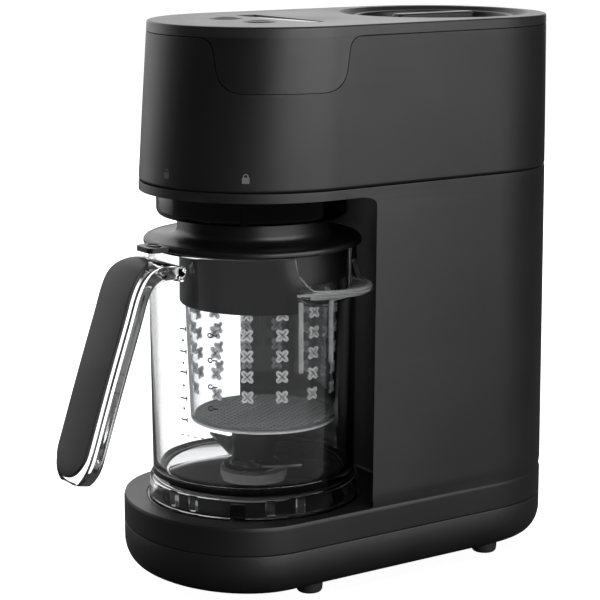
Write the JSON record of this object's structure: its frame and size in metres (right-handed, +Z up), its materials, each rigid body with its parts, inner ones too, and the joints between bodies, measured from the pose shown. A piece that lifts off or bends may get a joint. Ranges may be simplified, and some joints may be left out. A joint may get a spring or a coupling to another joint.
{
  "type": "baby food maker",
  "caption": "Tall slim black baby food steamer and blender with a clear handled jug on an open bay, lift-out steaming basket, top buttons and a twist-off water tank cap.",
  "frame": {"origin": "on the table under the middle of the whole object, handle included", "axes": "+Z up, +X across the width, -Y towards the front, where the jug handle points at rest"},
  "size_m": [0.136, 0.3047, 0.3105],
  "materials": {
    "charcoal_plastic": "fine moulded texture, satin",
    "gloss_black_plastic": "polished",
    "clear_plastic": "clear, polished",
    "black_rubber": "matte",
    "silicone": "soft matte",
    "steel": "ground",
    "cast_metal": "as cast",
    "circuit_board": "lacquered",
    "white_plastic": "moulded"
  },
  "bodies": {
    "machine": {"base_pan": "charcoal_plastic", "body_housing": "charcoal_plastic", "head_housing": "charcoal_plastic", "top_cover": "charcoal_plastic", "foot_1": "black_rubber", "foot_2": "black_rubber", "foot_3": "black_rubber", "foot_4": "black_rubber", "case_screw_1": "steel", "case_screw_2": "steel", "case_screw_3": "steel", "case_screw_4": "steel", "display_window": "gloss_black_plastic", "display_module": "white_plastic", "control_board": "circuit_board", "button_switch_left": "gloss_black_plastic", "button_switch_right": "gloss_black_plastic", "water_tank": "clear_plastic", "water_pump": "white_plastic", "boiler": "cast_metal", "tank_hose": "silicone", "pump_hose": "silicone", "steam_tube": "silicone", "steam_nozzle": "white_plastic", "nozzle_seal": "silicone", "steam_collar": "gloss_black_plastic", "motor": "steel", "motor_mount": "cast_metal", "drive_belt": "black_rubber", "drive_bearing": "steel", "bearing_carrier": "white_plastic", "main_board": "circuit_board", "lock_switch": "gloss_black_plastic", "cord_gland": "black_rubber"},
    "lock_ring": {"jug_lock_ring": "gloss_black_plastic"},
    "jug": {"jug": "clear_plastic", "jug_handle": "clear_plastic", "handle_inlay": "charcoal_plastic", "blade_base": "gloss_black_plastic", "blade_nut": "white_plastic"},
    "lid": {"jug_lid": "gloss_black_plastic", "lid_seal": "silicone"},
    "basket": {"steam_basket": "clear_plastic"},
    "blades": {"blade_shaft": "steel", "blade_hub": "gloss_black_plastic", "blade": "steel", "driven_hub": "white_plastic", "driven_magnet": "cast_metal"},
    "drive": {"drive_hub": "white_plastic", "drive_magnet": "cast_metal"},
    "rotor": {"motor_pulley": "steel"},
    "button_left": {"button_left": "charcoal_plastic"},
    "button_right": {"button_right": "charcoal_plastic"},
    "cap_ring": {"cap_gasket": "silicone"},
    "tank_cap": {"tank_cap": "charcoal_plastic"}
  },
  "joints": [
    {"name": "jug_turn", "type": "hinge", "parent": "machine", "child": "lock_ring", "pos_m": [0, -0.0332, 0.0454], "axis": [0, 0, 1], "range_deg": [0, 48]},
    {"name": "jug_out", "type": "slide", "parent": "lock_ring", "child": "jug", "axis": [0, -1, 0], "range_m": [0, 0.16]},
    {"name": "lid_lift", "type": "slide", "parent": "jug", "child": "lid", "axis": [0, 0, 1], "range_m": [0, 0.01]},
    {"name": "basket_lift", "type": "slide", "parent": "jug", "child": "basket", "axis": [0, 0, 1], "range_m": [0, 0.01]},
    {"name": "blade_spin", "type": "hinge", "parent": "jug", "child": "blades", "pos_m": [0, -0.0332, 0.065], "axis": [0, 0, 1], "continuous": true},
    {"name": "drive_spin", "type": "hinge", "parent": "machine", "child": "drive", "pos_m": [0, -0.0332, 0.036], "axis": [0, 0, 1], "continuous": true},
    {"name": "motor_spin", "type": "hinge", "parent": "machine", "child": "rotor", "pos_m": [0, 0.095, 0.036], "axis": [0, 0, 1], "continuous": true},
    {"name": "press_left", "type": "slide", "parent": "machine", "child": "button_left", "axis": [0, 0, -1], "range_m": [0, 0.0012], "stiffness_N_per_m": 400, "springref_m": -0.0008},
    {"name": "press_right", "type": "slide", "parent": "machine", "child": "button_right", "axis": [0, 0, -1], "range_m": [0, 0.0012], "stiffness_N_per_m": 400, "springref_m": -0.0008},
    {"name": "cap_lift", "type": "slide", "parent": "machine", "child": "cap_ring", "axis": [0, 0, 1], "range_m": [0, 0.06]},
    {"name": "cap_turn", "type": "hinge", "parent": "cap_ring", "child": "tank_cap", "pos_m": [0, 0.0915, 0.3], "axis": [0, 0, 1], "range_deg": [0, 60]}
  ],
  "couplings": [
    {"joint": "drive_spin", "follows": "motor_spin", "ratio": 0.4},
    {"joint": "blade_spin", "follows": "motor_spin", "ratio": 0.4}
  ]
}
